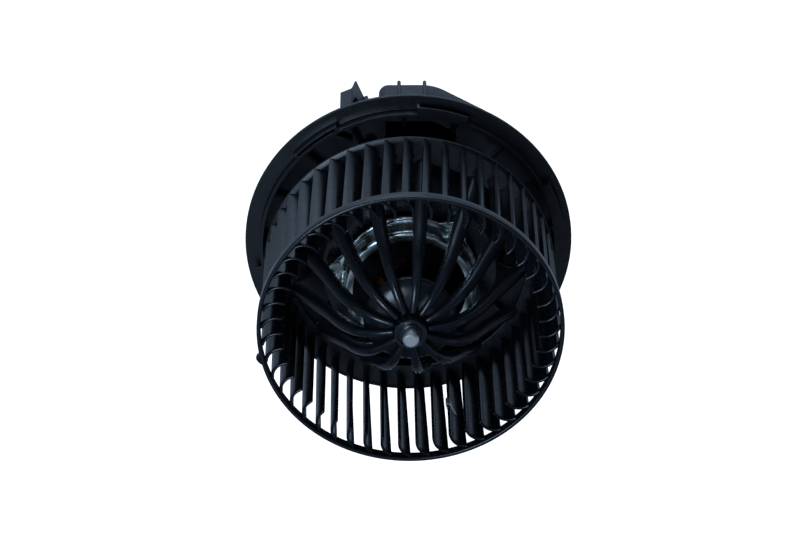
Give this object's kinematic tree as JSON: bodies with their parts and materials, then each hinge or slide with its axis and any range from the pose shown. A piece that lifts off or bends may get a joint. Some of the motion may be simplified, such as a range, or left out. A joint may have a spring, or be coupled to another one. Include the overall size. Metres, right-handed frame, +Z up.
{
  "type": "cabin blower motor wheel",
  "caption": "Squirrel-cage blower wheel on a brushed motor, carried by a round twist-lock flange with a rear cooling-duct cover and plug socket.",
  "frame": {"origin": "on the shaft axis, in the front plane of the flange rim", "axes": "Y along the shaft, with the air inlet facing -Y and the motor cover facing +Y; +Z up, towards the cooling duct; X across"},
  "size_m": [0.1681, 0.1445, 0.1682],
  "materials": {
    "wheel_plastic": "moulded semi-matte",
    "flange_plastic": "moulded, fine grain",
    "cover_plastic": "moulded, fine grain",
    "carrier_plastic": "moulded",
    "zinc_steel": "zinc plated, drawn",
    "bright_steel": "ground",
    "spring_steel": "rolled",
    "screw_steel": "zinc plated",
    "laminated_steel": "punched sheets",
    "copper_wire": "enamelled",
    "copper_bar": "turned",
    "sintered_bronze": "sintered",
    "brass_sheet": "rolled",
    "tinned_brass": "tinned",
    "ferrite": "ground",
    "carbon": "pressed",
    "insulator_resin": "moulded",
    "capacitor_resin": "dipped",
    "rubber": "moulded",
    "lead_insulation": "extruded"
  },
  "bodies": {
    "housing": {"motor_can": "zinc_steel", "motor_mounting_ring": "zinc_steel", "motor_screws": "screw_steel", "motor_grommets": "rubber", "vibration_ring": "rubber", "front_bearing_carrier": "carrier_plastic", "front_bearing": "sintered_bronze", "rear_bearing": "sintered_bronze", "front_bearing_retainer": "spring_steel", "rear_bearing_retainer": "spring_steel", "motor_end_plate": "zinc_steel", "field_magnets": "ferrite", "magnet_springs": "spring_steel", "brush_plate": "carrier_plastic", "brush_holder_upper": "brass_sheet", "brush_holder_lower": "brass_sheet", "brush_spring_upper": "spring_steel", "brush_spring_lower": "spring_steel", "choke_coils": "copper_wire", "choke_cores": "ferrite", "suppression_capacitor": "capacitor_resin", "mounting_flange": "flange_plastic", "rear_cover": "cover_plastic", "cover_screws": "screw_steel", "connector_shell": "cover_plastic", "connector_terminals": "tinned_brass", "motor_leads": "lead_insulation", "lead_grommet": "rubber"},
    "rotor": {"blower_wheel": "wheel_plastic", "motor_shaft": "bright_steel", "boss_clamp_ring": "spring_steel", "balance_clip": "spring_steel", "armature_core": "laminated_steel", "slot_insulators": "insulator_resin", "armature_windings": "copper_wire", "commutator_hub": "insulator_resin", "commutator_bars": "copper_bar", "thrust_washers": "spring_steel"},
    "upper_brush": {"brush_upper": "carbon"},
    "lower_brush": {"brush_lower": "carbon"}
  },
  "joints": [
    {"name": "wheel_spin", "type": "hinge", "parent": "housing", "child": "rotor", "pos_m": [0, 0, 0], "axis": [0, 1, 0], "continuous": true},
    {"name": "upper_brush_slide", "type": "slide", "parent": "housing", "child": "upper_brush", "axis": [0, 0, 1], "range_m": [0, 0.004], "stiffness_N_per_m": 150, "springref_m": -0.01, "deforming": ["brush_spring_upper"]},
    {"name": "lower_brush_slide", "type": "slide", "parent": "housing", "child": "lower_brush", "axis": [0, 0, -1], "range_m": [0, 0.004], "stiffness_N_per_m": 150, "springref_m": -0.01, "deforming": ["brush_spring_lower"]}
  ]
}
